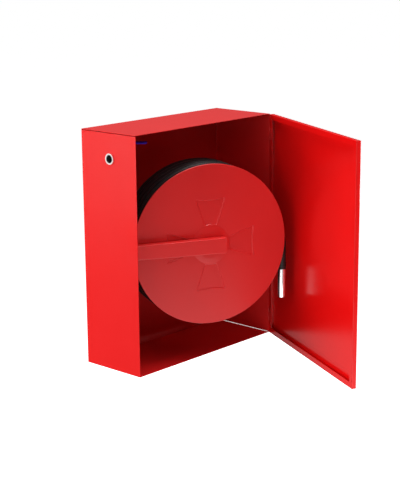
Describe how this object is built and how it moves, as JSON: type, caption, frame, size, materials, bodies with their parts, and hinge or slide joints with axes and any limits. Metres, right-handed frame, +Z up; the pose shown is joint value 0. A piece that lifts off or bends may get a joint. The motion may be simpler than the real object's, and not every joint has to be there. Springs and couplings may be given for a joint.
{
  "type": "fire hose reel",
  "caption": "Fire hose reel in a wall cabinet: hinged door, swing arm, spinning drum with a coiled hose, stop valve and twist nozzle.",
  "frame": {"origin": "centre of the cabinet's back face, which lies on the wall", "axes": "+Y into the wall (the back face's outward normal), +X to the door's hinge side, +Z up; the cabinet opens towards -Y"},
  "size_m": [0.6403, 0.7959, 0.75],
  "materials": {
    "red_powder_coat": "satin powder coat",
    "red_drum_coat": "satin powder coat, a little darker than the cabinet",
    "black_rubber": "smooth matt rubber",
    "chrome": "polished",
    "nickel_plate": "satin nickel plate",
    "brass": "machined",
    "bronze": "sintered bronze",
    "zinc_steel": "zinc plated",
    "blue_plastic": "dipped vinyl",
    "black_plastic": "moulded"
  },
  "bodies": {
    "cabinet": {"bottom_panel": "red_powder_coat", "cabinet_body": "red_powder_coat", "feed_hose": "zinc_steel", "feed_nut_lower": "brass", "feed_nut_upper": "brass", "hinge_leaf_fixed_lower": "red_powder_coat", "hinge_leaf_fixed_upper": "red_powder_coat", "hinge_pin_lower": "red_powder_coat", "hinge_pin_upper": "red_powder_coat", "inlet_locknut": "brass", "inlet_nipple": "nickel_plate", "packing_nut": "brass", "pivot_bush_lower": "bronze", "pivot_bush_upper": "bronze", "swivel_body": "brass", "swivel_seal": "black_rubber", "top_panel": "red_powder_coat", "valve_body": "brass", "valve_outlet_elbow": "brass", "wall_bracket": "red_powder_coat"},
    "door": {"door_panel": "red_powder_coat", "hinge_leaf_door_upper": "red_powder_coat", "hinge_leaf_door_lower": "red_powder_coat"},
    "valve_lever": {"valve_lever": "zinc_steel", "lever_grip": "blue_plastic", "valve_stem": "zinc_steel", "valve_ball": "chrome", "lever_nut": "zinc_steel"},
    "swing_arm": {"swing_arm": "red_drum_coat", "pivot_post": "zinc_steel", "post_plug": "brass", "arm_pipe": "zinc_steel", "hub_axle": "zinc_steel", "axle_washer": "zinc_steel", "brake_spring": "zinc_steel", "axle_nut": "zinc_steel", "hose_tail": "black_rubber", "hose_ferrule": "black_plastic", "nozzle_body": "chrome"},
    "drum": {"front_disc": "red_drum_coat", "hub_flange": "red_drum_coat", "back_disc": "red_drum_coat", "drum_core": "zinc_steel", "hub_tube": "zinc_steel", "hub_bush_front": "bronze", "hub_bush_rear": "bronze", "outlet_pipe": "brass", "hose_coil": "black_rubber", "tie_rod_1": "zinc_steel", "tie_rod_2": "zinc_steel", "tie_rod_3": "zinc_steel", "tie_rod_4": "zinc_steel", "tie_nut_1": "zinc_steel", "tie_nut_2": "zinc_steel", "tie_nut_3": "zinc_steel", "tie_nut_4": "zinc_steel"},
    "nozzle_sleeve": {"nozzle_sleeve": "chrome"}
  },
  "joints": [
    {"name": "door_hinge", "type": "hinge", "parent": "cabinet", "child": "door", "pos_m": [0.3107, -0.2351, 0], "axis": [0, 0, 1], "range_deg": [-5, 117]},
    {"name": "reel_swing", "type": "hinge", "parent": "cabinet", "child": "swing_arm", "pos_m": [-0.287, -0.187, 0], "axis": [0, 0, -1], "range_deg": [-26, 64]},
    {"name": "drum_spin", "type": "hinge", "parent": "swing_arm", "child": "drum", "pos_m": [-0.04066, -0.28712, 0.0047], "axis": [-0.4384, -0.8988, 0], "continuous": true},
    {"name": "valve_turn", "type": "hinge", "parent": "cabinet", "child": "valve_lever", "pos_m": [-0.262, -0.125, 0.294], "axis": [0, 0, 1], "range_deg": [-45, 45]},
    {"name": "nozzle_twist", "type": "hinge", "parent": "swing_arm", "child": "nozzle_sleeve", "pos_m": [0.19557, -0.3822, -0.16], "axis": [0, 0, -1], "range_deg": [0, 180]}
  ]
}
